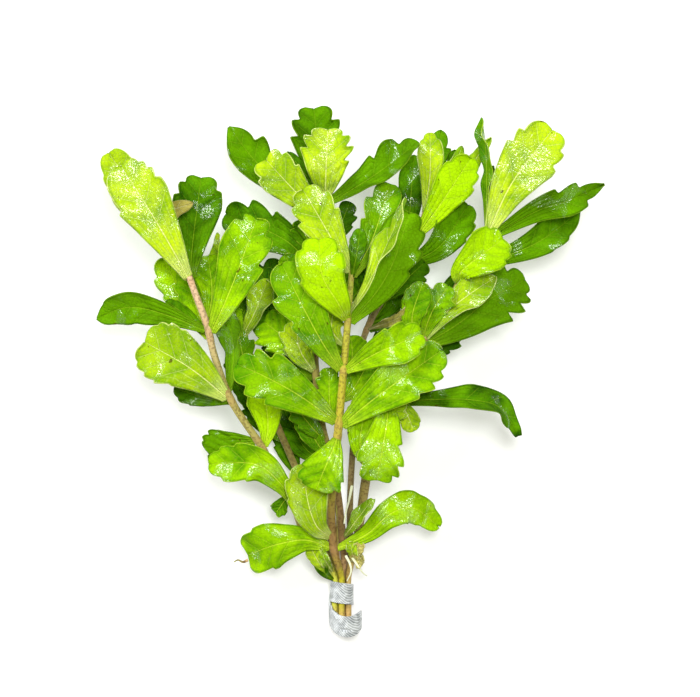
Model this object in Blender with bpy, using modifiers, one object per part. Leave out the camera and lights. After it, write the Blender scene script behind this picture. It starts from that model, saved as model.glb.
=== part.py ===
"""A tied bunch of Mexican oak leaf cuttings, lying on a table with its tips towards +Y.

Six stems are held at their cut ends by a coiled strip of soft metal. Every leaf is a thin blade
on a curved midrib that starts on its stem. Small leaves are one piece with their stem.
"""

import math
from collections import namedtuple

import bmesh
import bpy
from mathutils import Vector
from mathutils.geometry import interpolate_bezier

MM = 0.001
UP = Vector((0, 0, 1))

# The bunch is laid out as it looks from straight above. A place is a column and a row of that
# view, in pixels, and a height above the table in millimetres.
PIXEL = 0.36 * MM
EYE_HEIGHT = 900 * MM
FOCUS_HEIGHT = 30 * MM
VIEW_CENTRE = (350, 348.5)
TIE_FOOT = (341.5, 597)

# Leaves
BLADE_THICKNESS = 0.5 * MM
GAP = 0.3 * MM
SINK = 1.1 * MM
VEIN_SWEEP = 0.45
CURVE_STEPS = 12

# Stems. In the tie one is in the middle and the others stand in a ring round it, at these angles.
STEM_POINTS = 15
STEM_BEVEL = 2
TIED_RADIUS = 1.15
TIED_RING = 2.6
TIED_HEIGHT = 4.3
TIED_COLUMN = 341.5
TIED_ROWS = (619, 597, 577)
TIED_STEPS = 2 * (CURVE_STEPS - 1)
TIED_ANGLES = {"front": 0, "right": 72, "right_back": 144, "left_back": 216, "left": 288}

# The strip of soft metal: angles run round the stems from the top of the bunch, over its right side
STRIP_WIDTH = 7.6 * MM
STRIP_THICKNESS = 0.7 * MM
STRIP_HEIGHT = TIED_HEIGHT * MM
STRIP_CELLS = 30
STRIP_START, STRIP_END = -60, 465
STRIP_CORNER, STRIP_FALL = 395, 0.5
STRIP_LOOSENS, STRIP_IS_LOOSE = 120, 270
STRIP_RADII = (4.75 * MM, 6.3 * MM)
STRIP_COLUMNS = (341, 345.5)
STRIP_ROW = 592
STRIP_ROWS_A_TURN = 10
STRIP_LOOSE_ROWS, STRIP_TILT_ROWS = 10, 13

# Colours and roughness
FINISHES = {
    "pale": ((0.50, 0.74, 0.03), 0.35),
    "mid": ((0.22, 0.51, 0.01), 0.35),
    "dark": ((0.05, 0.18, 0.01), 0.35),
    "tan": ((0.50, 0.42, 0.12), 0.5),
    "stem": ((0.22, 0.13, 0.05), 0.6),
    "soft_metal": ((0.55, 0.56, 0.57), 0.45),
}

# Half of each kind of blade, as (share of the length, share of the half width) from base to tip
OUTLINES = {
    "lobed": ((0, 0.1), (0.16, 0.2), (0.32, 0.5), (0.5, 0.88), (0.57, 0.72),
              (0.7, 1), (0.78, 0.68), (0.9, 0.5), (1, 0.1)),
    "spoon": ((0, 0.1), (0.16, 0.2), (0.34, 0.54), (0.5, 0.82), (0.6, 0.96),
              (0.72, 1), (0.82, 0.88), (0.93, 0.62), (1, 0.2)),
    "smooth": ((0, 0.1), (0.16, 0.22), (0.32, 0.5), (0.46, 0.76), (0.58, 0.94),
               (0.7, 0.9), (0.82, 0.68), (0.92, 0.4), (1, 0.1)),
    "small": ((0, 0.2), (0.2, 0.4), (0.5, 0.9), (0.7, 1), (0.88, 0.66), (1, 0.2)),
}

# Places along each stem, from the tie to its tip: column, row, height, radius in millimetres
STEMS = {
    "front": ((337, 562, 10.5, 1.45), (333, 545, 12, 1.7), (331, 510, 17, 1.7), (332, 490, 21, 1.7),
              (335, 460, 28, 1.6), (339, 422, 33, 1.5), (343, 375, 37, 1.4), (347, 330, 40, 1.3),
              (350, 295, 42, 1.1), (352, 268, 43, 0.9)),
    "left": ((327, 565, 7.5, 1.2), (306, 538, 14, 1.35), (290, 497, 20, 1.35),
             (263, 449, 26, 1.35), (232, 402, 30, 1.35), (215, 358, 33, 1.35),
             (207, 325, 36, 1.3), (197, 298, 39, 1.25), (189, 276, 41, 1.1)),
    "left_back": ((334, 562, 4, 1.2), (326, 545, 6.5, 1.25), (316, 520, 9, 1.3),
                  (300, 478, 11, 1.3), (280, 432, 13, 1.3), (262, 392, 14, 1.25),
                  (243, 350, 16, 1.2), (232, 318, 18, 1.1), (224, 292, 20, 0.9)),
    "middle": ((344, 560, 6.5, 1.35), (342, 535, 10, 1.6), (340, 515, 12.5, 1.6),
               (337, 490, 15, 1.5), (330, 455, 17, 1.4), (322, 425, 19, 1.45),
               (316, 375, 22, 1.45), (314, 340, 24, 1.35), (316, 300, 27, 1.25),
               (320, 250, 30, 1.15), (325, 200, 32, 1)),
    "right": ((352, 560, 8.5, 1.3), (357, 540, 12, 1.6), (361, 515, 16, 1.7), (366, 480, 22, 1.8),
              (374, 440, 26, 1.6), (392, 395, 29, 1.4), (412, 358, 31, 1.3), (430, 330, 32, 1.25),
              (455, 290, 33, 1.2), (475, 258, 34, 1.1), (489, 232, 35, 1)),
    "right_back": ((348, 560, 4.5, 1.2), (350, 535, 7, 1.25), (350, 510, 9, 1.25),
                   (351, 480, 11, 1.2), (354, 430, 13, 1.2), (358, 370, 14, 1.2),
                   (363, 340, 16, 1.15), (373, 316, 18, 1.15), (392, 285, 21, 1.1),
                   (408, 255, 24, 1), (418, 232, 26, 0.95), (426, 210, 27, 0.9)),
}

# A leaf grows from its stem at a row of the view and passes through the places of its path.
# Width is in millimetres. Roll turns the blade about its midrib, at the base and at the tip,
# fold lifts each half, and cup bends each half further up at its margin, all in degrees.
Leaf = namedtuple("Leaf", "stem row path width tone roll fold cup outline cells")


def leaf(stem, row, path, width, tone, roll=(0, 0), fold=8, cup=10, outline="lobed", cells=2):
    """A leaf's sizes, with the usual ones filled in."""
    return Leaf(stem, row, path, width, tone, roll, fold, cup, outline, cells)


LEAVES = {
    # On the left stem, from its tip down
    "left_tip_front": leaf("left", 277, ((170, 245, 47), (148, 208, 50), (121, 166, 51)), 20.5,
                           "pale", fold=6, outline="spoon", cells=4),
    "left_tip_back": leaf("left", 280, ((155, 225, 40), (109, 153, 43)), 16.5, "pale",
                          outline="spoon"),
    "left_tip_dark": leaf("left", 279, ((192, 250, 36), (201, 178, 33)), 18.5, "dark"),
    "left_upper_right": leaf("left", 334, ((224, 305, 41), (240, 265, 43), (256, 219, 42)), 19,
                             "mid", outline="spoon", cells=4),
    "left_upper_left": leaf("left", 330, ((170, 316, 37), (130, 307, 38), (97, 318, 33)), 13.5,
                            "dark", roll=(15, 20), fold=10, outline="smooth"),
    "left_upper_behind": leaf("left", 338, ((188, 305, 26), (162, 258, 27)), 15, "mid"),
    "left_upper_between": leaf("left", 322, ((212, 292, 33), (208, 256, 31)), 13, "mid"),
    "left_middle_front": leaf("left", 399, ((190, 368, 38), (145, 342, 38)), 23, "pale", fold=5,
                              outline="spoon", cells=4),
    "left_middle_side": leaf("left", 392, ((234, 350, 26), (226, 306, 26)), 14, "dark",
                             roll=(45, 50)),
    "left_lower_up": leaf("left", 448, ((268, 425, 23), (264, 388, 22)), 14, "mid"),
    "left_lower_dark": leaf("left", 440, ((232, 446, 22), (209, 454, 20)), 17, "dark"),
    "left_foot": leaf("left", 502, ((280, 483, 27), (255, 464, 31), (209, 464, 30)), 15, "mid",
                      cells=4),
    # On the stem behind it
    "left_back_hanging": leaf("left_back", 341, ((254, 315, 22), (268, 280, 24)), 11, "pale",
                              roll=(30, 30)),
    "left_back_low": leaf("left_back", 302, ((203, 290, 8), (185, 272, 1.2), (168, 256, 0.3)), 13,
                          "dark", fold=4),
    "left_back_dark": leaf("left_back", 325, ((252, 300, 10), (280, 262, 8)), 15, "dark"),
    # On the middle stem
    "middle_tip_front": leaf("middle", 201, ((326, 170, 42), (328, 130, 44)), 19.5, "pale",
                             fold=4, cells=4),
    "middle_tip_back": leaf("middle", 206, ((319, 160, 27), (314, 109, 28)), 20, "dark",
                            fold=14, cells=4),
    "middle_tip_right": leaf("middle", 204, ((355, 188, 36), (385, 168, 38), (418, 142, 38)), 16,
                             "dark", roll=(25, 30), fold=28),
    "middle_tip_left": leaf("middle", 214, ((300, 196, 39), (266, 160, 41)), 16.5, "pale",
                            fold=14, outline="spoon"),
    "middle_tip_far_left": leaf("middle", 210, ((285, 187, 29), (256, 162, 27), (229, 127, 28)),
                                17, "dark", roll=(-8, -12), fold=18),
    "middle_upper_left": leaf("middle", 272, ((285, 240, 24), (226, 214, 22)), 18.5, "dark"),
    "middle_pale": leaf("middle", 346, ((328, 322, 33), (324, 278, 35)), 14, "pale"),
    "middle_left": leaf("middle", 357, ((295, 345, 27), (264, 322, 27)), 18, "mid"),
    "middle_dark": leaf("middle", 334, ((290, 305, 14), (258, 272, 11)), 15, "dark"),
    "middle_low_dark": leaf("middle", 462, ((305, 448, 10), (283, 408, 7)), 13, "dark"),
    # On the front stem
    "front_tip_left": leaf("front", 272, ((334, 243, 47), (318, 215, 49), (303, 190, 49)), 17,
                           "pale"),
    "front_tip_right": leaf("front", 278, ((372, 240, 37), (390, 184, 34)), 15, "mid"),
    "front_upper_left": leaf("front", 318, ((338, 303, 50), (322, 275, 54), (319, 240, 55)), 18.5,
                             "mid", fold=5, cells=4),
    "front_upper_edge": leaf("front", 312, ((368, 285, 52), (387, 245, 54), (407, 199, 54)), 13,
                             "pale", roll=(65, 65), fold=10),
    "front_upper_right": leaf("front", 323, ((378, 290, 44), (395, 258, 44), (409, 213, 42)), 18.5,
                              "dark", cells=4),
    "front_middle_left": leaf("front", 370, ((322, 342, 44), (302, 305, 47), (282, 264, 46)), 19,
                              "mid", fold=10, cells=4),
    "front_middle_right": leaf("front", 371, ((375, 354, 44), (400, 343, 46), (421, 334, 46)), 16,
                               "mid", fold=18),
    "front_lower_left": leaf("front", 423, ((300, 396, 42), (268, 378, 45), (237, 364, 44)), 20,
                             "mid", fold=10, cells=4),
    "front_lower_right": leaf("front", 427, ((370, 402, 39), (408, 374, 42), (442, 350, 41)), 21,
                              "mid", fold=10, cells=4),
    "front_hanging": leaf("front", 436, ((332, 452, 38), (324, 470, 39), (316, 490, 36)), 18,
                          "mid", fold=-12, cells=4),
    "front_foot_up": leaf("front", 536, ((316, 525, 22), (307, 497, 27), (305, 465, 28)), 16.5,
                          "pale"),
    "front_foot_left": leaf("front", 547, ((305, 540, 18), (275, 545, 21), (248, 555, 15)), 17.5,
                            "mid", fold=-10),
    "front_foot_right": leaf("front", 549, ((367, 534, 18), (390, 514, 21), (413, 508, 22),
                                            (438, 526, 16)), 12.5, "mid", fold=-12,
                             outline="spoon"),
    # On the right stem
    "right_tip_front": leaf("right", 234, ((512, 183, 43), (552, 130, 45)), 21, "pale", fold=5,
                            cells=4),
    "right_tip_right": leaf("right", 238, ((535, 212, 33), (570, 200, 33), (603, 185, 30)), 13.5,
                            "dark", fold=28),
    "right_tip_edge": leaf("right", 235, ((487, 190, 39), (486, 150, 41), (481, 118, 41)), 9.5,
                           "mid", roll=(70, 70)),
    "right_upper_right": leaf("right", 262, ((500, 258, 31), (540, 241, 28), (580, 211, 26)), 13.5,
                              "dark", fold=18),
    "right_upper_front": leaf("right", 284, ((461, 272, 40), (480, 256, 43), (503, 239, 44)), 17,
                              "mid", outline="spoon"),
    "right_middle_edge": leaf("right", 337, ((445, 314, 36), (470, 294, 36.5), (496, 277, 36.5)), 12,
                              "pale", roll=(20, 20)),
    "right_middle_big": leaf("right", 345, ((458, 324, 26), (490, 299, 26), (525, 280, 21)), 23,
                             "dark", cells=4),
    "right_lower_up": leaf("right", 467, ((360, 440, 31), (370, 390, 33)), 13.5, "mid"),
    "right_lower_hanging": leaf("right", 402, ((387, 422, 38.5), (382, 452, 39), (377, 480, 35)),
                                17.5, "mid"),
    "right_lower_far": leaf("right", 404, ((430, 400, 32), (470, 400, 33), (500, 408, 29),
                                           (518, 436, 24)), 12.5, "dark", roll=(25, 45), fold=15),
    # On the stem behind it
    "right_back_tip_front": leaf("right_back", 211, ((430, 175, 33), (430, 133, 33)), 10, "pale"),
    "right_back_tip_right": leaf("right_back", 236, ((440, 205, 33), (471, 158, 36)), 15, "mid"),
    "right_back_tip_dark": leaf("right_back", 214, ((434, 175, 20), (441, 130, 15)), 10, "dark"),
    "right_back_upper": leaf("right_back", 266, ((440, 246, 26), (468, 205, 28)), 16, "dark",
                             fold=25),
    "right_back_low": leaf("right_back", 330, ((430, 310, 6), (470, 285, 1.2), (495, 272, 0.3)),
                           15, "dark", fold=4),
}

# Small leaves, each one piece with its stem
SMALL_LEAVES = (
    leaf("left", 279, ((168, 236, 44.5), (167, 214, 46), (193, 203, 45)), 7.5, "tan",
         outline="small"),
    leaf("left", 283, ((187, 250, 31), (180, 212, 28)), 9, "dark", outline="small"),
    leaf("left", 334, ((190, 318, 31), (166, 301, 31)), 6, "dark", outline="small"),
    leaf("left", 402, ((205, 398, 25), (174, 388, 23)), 9, "dark", outline="small"),
    leaf("left", 497, ((285, 500, 17), (276, 513, 15)), 7, "mid", outline="small"),
    leaf("left_back", 294, ((221, 262, 26), (217, 233, 28)), 7, "pale", (40, 40),
         outline="small"),
    leaf("left_back", 428, ((255, 405, 8), (234, 372, 6)), 9, "dark", outline="small"),
    leaf("middle", 203, ((308, 178, 35), (288, 152, 34)), 5, "dark", outline="small"),
    leaf("middle", 462, ((314, 438, 22), (298, 412, 23)), 9, "mid", outline="small"),
    leaf("middle", 537, ((354, 524, 19), (373, 499, 25)), 6, "mid", (30, 30), outline="small"),
    leaf("front", 277, ((357, 252, 46), (360, 229, 47)), 7, "dark", outline="small"),
    leaf("right", 237, ((492, 200, 30), (492, 166, 31)), 5, "dark", (50, 50), outline="small"),
    leaf("right", 345, ((412, 318, 38), (423, 282, 40)), 11, "mid", outline="small"),
    leaf("right", 394, ((405, 410, 32), (414, 431, 31)), 8, "pale", outline="small"),
    leaf("right_back", 224, ((446, 190, 28), (462, 146, 29)), 6, "pale", outline="small"),
    leaf("right_back", 228, ((442, 190, 25), (456, 150, 25)), 5, "dark", (40, 40),
         outline="small"),
    leaf("right_back", 233, ((460, 180, 27), (491, 138, 26)), 6, "pale", outline="small"),
    leaf("right_back", 252, ((410, 210, 20), (414, 155, 17)), 11, "dark", outline="small"),
    leaf("right_back", 322, ((388, 317, 13), (402, 312, 12)), 5, "dark", outline="small"),
    leaf("right_back", 425, ((371, 397, 19), (386, 356, 20)), 11, "mid", outline="small"),
)



def place(column, row, height):
    """The point seen at that column and row of the view, at a height in millimetres."""
    near = (EYE_HEIGHT - height * MM) / (EYE_HEIGHT - FOCUS_HEIGHT)
    x = (column - VIEW_CENTRE[0]) * PIXEL * near
    y = (VIEW_CENTRE[1] - row) * PIXEL * near
    return Vector((x, y, height * MM))


ORIGIN = place(*TIE_FOOT, 0)


def at_place(column, row, height):
    """The same point, measured from the foot of the tie."""
    return place(column, row, height) - ORIGIN


class SmoothLine:
    """A smooth curve through some points, read by the share of its length."""

    def __init__(self, points):
        before = 2 * points[0] - points[1]
        after = 2 * points[-1] - points[-2]
        knots = [before, *points, after]
        self.points = [points[0]]
        for a, b, c, d in zip(knots, knots[1:], knots[2:], knots[3:]):
            run = interpolate_bezier(b, b + (c - a) / 6, c - (d - b) / 6, c, CURVE_STEPS)
            self.points += run[1:]
        self.reach = [0]
        for a, b in zip(self.points, self.points[1:]):
            self.reach.append(self.reach[-1] + (b - a).length)
        self.length = self.reach[-1]

    def at(self, share):
        """The point at a share of the length, and the direction there."""
        goal = min(max(share, 0), 1) * self.length
        step = 1
        while step < len(self.reach) - 1 and self.reach[step] < goal:
            step += 1
        start, end = self.points[step - 1], self.points[step]
        part = (goal - self.reach[step - 1]) / (self.reach[step] - self.reach[step - 1])
        before = self.points[max(step - 2, 0)]
        after = self.points[min(step + 1, len(self.points) - 1)]
        direction = (start - before).lerp(after - end, part) + (end - start)
        return start.lerp(end, part), direction.normalized()


def stem_spots(name):
    """All places along a stem, the straight stretch in the tie first."""
    column, height = TIED_COLUMN, TIED_HEIGHT
    if name in TIED_ANGLES:
        angle = math.radians(TIED_ANGLES[name])
        column += TIED_RING * MM * math.sin(angle) / PIXEL
        height += TIED_RING * math.cos(angle)
    tied = [(column, row, height, TIED_RADIUS) for row in TIED_ROWS]
    return tied + list(STEMS[name])


def stem_line(name):
    """The centreline of a stem, in the view's columns, rows and heights."""
    return SmoothLine([Vector(spot[:3]) for spot in stem_spots(name)])


def stem_radius(name, row):
    """The radius of a stem where it crosses a row of the view."""
    spots = stem_spots(name)
    for low, high in zip(spots, spots[1:]):
        if row >= high[1]:
            part = (low[1] - row) / (low[1] - high[1])
            return (low[3] + (high[3] - low[3]) * max(part, 0)) * MM
    return spots[-1][3] * MM


def stem_at(name, row):
    """The centre of a stem where it crosses a row of the view, and its direction there."""
    spots = stem_line(name).points
    step = min(range(1, len(spots)), key=lambda i: abs(spots[i][1] - row))
    centre = at_place(*spots[step])
    return centre, (centre - at_place(*spots[step - 1])).normalized()


def make_finish(name):
    """A plain material from the table of finishes."""
    colour, roughness = FINISHES[name]
    material = bpy.data.materials.new(name)
    material.use_nodes = True
    shader = material.node_tree.nodes["Principled BSDF"]
    shader.inputs["Base Color"].default_value = (*colour, 1)
    shader.inputs["Roughness"].default_value = roughness
    shader.inputs["Metallic"].default_value = 1 if name == "soft_metal" else 0
    return material


def add_object(name, data, finish, collection):
    """A new object with its finish."""
    data.materials.append(bpy.data.materials[finish])
    made = bpy.data.objects.new(name, data)
    collection.objects.link(made)
    return made


def add_thickness(sheet, thickness, offset):
    """Turns an open sheet into a closed solid."""
    body = sheet.modifiers.new("Thickness", "SOLIDIFY")
    body.thickness = thickness
    body.offset = offset


def make_sheet(name, cells, rows, move, finish, collection):
    """An open grid whose corners are moved by a function of their place across and along it."""
    grid = bmesh.new()
    bmesh.ops.create_grid(grid, x_segments=cells, y_segments=rows, size=1)
    for vertex in grid.verts:
        vertex.co = move(vertex.co.x, (vertex.co.y + 1) / 2)
    mesh = bpy.data.meshes.new(name)
    grid.to_mesh(mesh)
    grid.free()
    return add_object(name, mesh, finish, collection)


def make_stem(name, collection, cutters):
    """A tapering tube along the stem's centreline, joined with its small leaves."""
    line = stem_line(name)
    curve = bpy.data.curves.new("centreline", "CURVE")
    curve.dimensions = "3D"
    curve.bevel_depth = 1
    curve.bevel_resolution = STEM_BEVEL
    curve.use_fill_caps = True
    spline = curve.splines.new("POLY")
    spline.points.add(STEM_POINTS - 1)
    tie_top = line.reach[TIED_STEPS] / line.length
    for number, point in enumerate(spline.points):
        free = (number - 1) / (STEM_POINTS - 2)
        spot, _ = line.at(tie_top + (1 - tie_top) * free if number else 0)
        point.co = (*at_place(*spot), 1)
        point.radius = stem_radius(name, spot[1])
    tube = add_object("centreline", curve, "stem", collection)
    bpy.context.view_layer.update()
    graph = bpy.context.evaluated_depsgraph_get()
    mesh = bpy.data.meshes.new_from_object(tube.evaluated_get(graph))
    bpy.data.objects.remove(tube)
    welded = bmesh.new()
    welded.from_mesh(mesh)
    bmesh.ops.remove_doubles(welded, verts=welded.verts, dist=0.01 * MM)
    welded.to_mesh(mesh)
    welded.free()
    mesh.materials.clear()
    stem = add_object(f"stem_{name}", mesh, "stem", collection)
    for number, spec in enumerate(spec for spec in SMALL_LEAVES if spec.stem == name):
        small = make_leaf(f"small_{name}_{number}", spec, cutters, SINK)
        small.hide_render = True
        small.display_type = "WIRE"
        union = stem.modifiers.new("Small leaf", "BOOLEAN")
        union.operation = "UNION"
        union.object = small
        union.material_mode = "TRANSFER"
    return stem


def half_blade(distance, fold, bend):
    """How far out and up a point lies that is this far from the midrib along the bent half."""
    turned = fold + bend * distance
    return (math.sin(turned) - math.sin(fold)) / bend, (math.cos(fold) - math.cos(turned)) / bend


class Blade:
    """The curved surface of a leaf."""

    def __init__(self, spec, sunk):
        centre, run = stem_at(spec.stem, spec.row)
        towards = at_place(*spec.path[0]) - centre
        outward = (towards - run * towards.dot(run)).normalized()
        clear = stem_radius(spec.stem, spec.row) + BLADE_THICKNESS / 2 + GAP - sunk
        start = centre + outward * clear
        self.line = SmoothLine([start, *(at_place(*spot) for spot in spec.path)])
        self.half_width = spec.width * MM / 2
        self.roll = [math.radians(angle) for angle in spec.roll]
        self.fold = math.radians(spec.fold)
        self.bend = math.radians(spec.cup) / self.half_width

    def point(self, along, across):
        """The point at a share of the length and a share of the half width, right side positive."""
        distance = abs(across) * self.half_width
        share = min(along + distance * VEIN_SWEEP / self.line.length, 1)
        spot, direction = self.line.at(share)
        right = direction.cross(UP).normalized()
        upward = right.cross(direction)
        roll = self.roll[0] + (self.roll[1] - self.roll[0]) * share
        side = right * math.cos(roll) + upward * math.sin(roll)
        face = upward * math.cos(roll) - right * math.sin(roll)
        out, lift = half_blade(distance, self.fold, self.bend)
        return spot + side * math.copysign(out, across) + face * lift


def make_leaf(name, spec, collection, sunk=0):
    """A thin closed blade: a grid laid over the leaf's surface and given its thickness."""
    outline = OUTLINES[spec.outline]
    rows = len(outline) - 1
    blade = Blade(spec, sunk)

    def move(across, along):
        share, width = outline[round(along * rows)]
        return blade.point(share, across * width)

    made = make_sheet(name, spec.cells, rows, move, spec.tone, collection)
    add_thickness(made, BLADE_THICKNESS, 0)
    return made


def strip_point(degrees, along_stems):
    """A point on the strip's outer face. The face is flat where it lies on the table."""
    angle = math.radians(degrees)
    loose = (degrees - STRIP_LOOSENS) / (STRIP_IS_LOOSE - STRIP_LOOSENS)
    loose = min(max(loose, 0), 1)
    radius = STRIP_RADII[0] + (STRIP_RADII[1] - STRIP_RADII[0]) * loose
    column = STRIP_COLUMNS[0] + (STRIP_COLUMNS[1] - STRIP_COLUMNS[0]) * loose
    row = STRIP_ROW + STRIP_ROWS_A_TURN * angle / math.tau
    row += loose * (STRIP_LOOSE_ROWS + STRIP_TILT_ROWS * math.cos(angle))
    centre = at_place(column, row, STRIP_HEIGHT / MM)
    height = max(STRIP_HEIGHT + radius * math.cos(angle), 0)
    corner = max(degrees - STRIP_CORNER, 0) / (STRIP_END - STRIP_CORNER)
    fall = STRIP_FALL * corner**2
    y = centre.y + (along_stems * (1 - fall) - fall) * STRIP_WIDTH / 2
    return Vector((centre.x + radius * math.sin(angle), y, height))


def make_strip(collection):
    """The soft metal strip, coiled round the cut ends of the stems."""

    def move(around, along_stems):
        degrees = STRIP_START + (STRIP_END - STRIP_START) * (around + 1) / 2
        return strip_point(degrees, 2 * along_stems - 1)

    strip = make_sheet("weight_strip", STRIP_CELLS, 1, move, "soft_metal", collection)
    add_thickness(strip, STRIP_THICKNESS, -1)
    return strip


def main():
    """Makes the whole bunch."""
    for old in list(bpy.data.objects):
        bpy.data.objects.remove(old)
    for name in FINISHES:
        make_finish(name)
    bunch = bpy.data.collections.new("mexican_oak_leaf_bunch")
    cutters = bpy.data.collections.new("joined_to_stems")
    for collection in (bunch, cutters):
        bpy.context.scene.collection.children.link(collection)
    for name in STEMS:
        make_stem(name, bunch, cutters)
    for name, spec in LEAVES.items():
        make_leaf(f"leaf_{name}", spec, bunch)
    make_strip(bunch)


main()
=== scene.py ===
# %% [markdown]
# # A tied bunch of Mexican oak leaf
#
# This notebook dresses a imported model of a bunch of water plant cuttings. The model, called the
# frame, already holds six stems, their leaves and the strip of soft metal that ties them, as plain
# solids at their real places. We load it first, and everything that we make afterwards takes the
# place of one of its pieces or grows from one.

# %% Load the frame
import math
import random
from collections import namedtuple

import bmesh
import bpy
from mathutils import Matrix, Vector, noise
from mathutils.geometry import interpolate_bezier


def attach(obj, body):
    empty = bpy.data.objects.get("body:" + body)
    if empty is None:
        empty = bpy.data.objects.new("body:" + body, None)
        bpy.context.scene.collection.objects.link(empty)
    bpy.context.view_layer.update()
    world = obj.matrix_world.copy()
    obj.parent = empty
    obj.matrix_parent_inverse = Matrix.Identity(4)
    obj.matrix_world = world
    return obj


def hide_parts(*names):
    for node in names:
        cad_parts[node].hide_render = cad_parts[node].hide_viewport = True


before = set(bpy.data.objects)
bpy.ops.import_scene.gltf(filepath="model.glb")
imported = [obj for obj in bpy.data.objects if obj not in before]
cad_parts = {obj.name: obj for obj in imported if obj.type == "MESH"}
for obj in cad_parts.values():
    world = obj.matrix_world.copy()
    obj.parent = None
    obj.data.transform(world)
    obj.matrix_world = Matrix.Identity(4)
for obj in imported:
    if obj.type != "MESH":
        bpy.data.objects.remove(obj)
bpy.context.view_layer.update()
print("frame nodes:", len(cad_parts))

# %% [markdown]
# ## The view that everything is laid out in
#
# The bunch lies on a table and we look straight down on it. It is handy to give places as a column
# and a row of that view, plus a height above the table, because then a leaf can be read straight
# off a picture. Two sight lines that start at the eye spread apart with distance, so a place that
# is higher up needs a smaller step to the side. That is the only thing `place` works out.

# %% From the view to the table
MM = 0.001
UP = Vector((0, 0, 1))
PIXEL = 0.36 * MM
EYE_HEIGHT = 900 * MM
FOCUS_HEIGHT = 30 * MM
VIEW_SIZE = (700, 697)
VIEW_CENTRE = (350, 348.5)
TIE_FOOT = (341.5, 597)


def place(column, row, height):
    """The point seen at that column and row of the view, at a height in millimetres."""
    near = (EYE_HEIGHT - height * MM) / (EYE_HEIGHT - FOCUS_HEIGHT)
    x = (column - VIEW_CENTRE[0]) * PIXEL * near
    y = (VIEW_CENTRE[1] - row) * PIXEL * near
    return Vector((x, y, height * MM))


ORIGIN = place(*TIE_FOOT, 0)


def at_place(column, row, height):
    """The same point, measured from the foot of the tie."""
    return place(column, row, height) - ORIGIN


print("one pixel is", PIXEL / MM, "mm at a height of", FOCUS_HEIGHT / MM, "mm")

# %% [markdown]
# ## Camera, floor and light
#
# A long lens high above the table keeps the leaves' sizes true. The lens length follows from the
# layout: the whole view is as wide as its pixels are at the focus height. The floor is a pale
# matte sheet. A wet leaf looks wet only when something bright is mirrored in it, so the light
# comes from soft panels: a key light from the side that shapes the leaves, one nearly overhead to
# draw the glare, and a weak one in front. A pale warm sky keeps the shadows open.

# %% Camera
SENSOR = 36

camera_data = bpy.data.cameras.new("view_from_above")
camera_data.sensor_width = SENSOR
camera_data.lens = SENSOR * (EYE_HEIGHT - FOCUS_HEIGHT) / (VIEW_SIZE[0] * PIXEL)
camera = bpy.data.objects.new("view_from_above", camera_data)
camera.location = at_place(*VIEW_CENTRE, 0) + EYE_HEIGHT * UP
bpy.context.scene.collection.objects.link(camera)
bpy.context.scene.camera = camera
bpy.context.scene.view_settings.view_transform = "Standard"
print("lens", round(camera_data.lens, 1), "mm")

# %% Lights
MIDDLE = at_place(*VIEW_CENTRE, 20)
Panel = namedtuple("Panel", "name side up_table height size watts")
PANELS = (
    Panel("key_panel", -0.55, 0.55, 0.90, 0.36, 10),
    Panel("glare_panel", 0.10, 0.20, 1.20, 0.26, 11),
    Panel("front_panel", 0.50, -0.90, 0.70, 0.60, 2),
)

for panel in PANELS:
    light_data = bpy.data.lights.new(panel.name, "AREA")
    light_data.shape = "SQUARE"
    light_data.size = panel.size
    light_data.energy = panel.watts
    light = bpy.data.objects.new(panel.name, light_data)
    light.location = MIDDLE + Vector((panel.side, panel.up_table, panel.height))
    light.rotation_mode = "QUATERNION"
    light.rotation_quaternion = (MIDDLE - light.location).to_track_quat("-Z", "Y")
    bpy.context.scene.collection.objects.link(light)

world = bpy.data.worlds.new("white_sky")
world.use_nodes = True
world.node_tree.nodes["Background"].inputs["Color"].default_value = (1, 0.99, 0.6, 1)
world.node_tree.nodes["Background"].inputs["Strength"].default_value = 0.36
bpy.context.scene.world = world
print("lights:", ", ".join(panel.name for panel in PANELS))

# %% [markdown]
# ## Writing materials as arithmetic
#
# A material is a tree of nodes, and a tree is hard to read as a list of links. The class `Wire`
# wraps one socket and overloads the operators, so that `1 - mask * 0.5` adds its Math nodes by
# itself. `Paint` starts a material with one Principled shader and has one method for any other
# kind of node. Colours go through `blend`, because a Math node would turn them grey.

# %% A small language for materials
class Wire:
    """One output socket, with arithmetic."""

    def __init__(self, paint, socket):
        self.paint = paint
        self.socket = socket

    def calculate(self, operation, *values):
        return self.paint.node("ShaderNodeMath", {"operation": operation}, dict(enumerate(values)))

    def __add__(self, other):
        return self.calculate("ADD", self, other)

    def __radd__(self, other):
        return self.calculate("ADD", other, self)

    def __sub__(self, other):
        return self.calculate("SUBTRACT", self, other)

    def __rsub__(self, other):
        return self.calculate("SUBTRACT", other, self)

    def __mul__(self, other):
        return self.calculate("MULTIPLY", self, other)

    def __rmul__(self, other):
        return self.calculate("MULTIPLY", other, self)

    def __truediv__(self, other):
        return self.calculate("DIVIDE", self, other)

    def __rtruediv__(self, other):
        return self.calculate("DIVIDE", other, self)

    def __pow__(self, other):
        return self.calculate("POWER", self, other)

    def __abs__(self):
        return self.calculate("ABSOLUTE", self)

    def function(self, operation, other=0):
        """Any other Math operation on this value."""
        return self.calculate(operation, self, other)

    def between(self, low, high):
        """0 below low, 1 above high, and a smooth rise from one to the other."""
        values = {"Value": self, "From Min": low, "From Max": high}
        return self.paint.node("ShaderNodeMapRange", {"interpolation_type": "SMOOTHSTEP"}, values)


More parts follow.
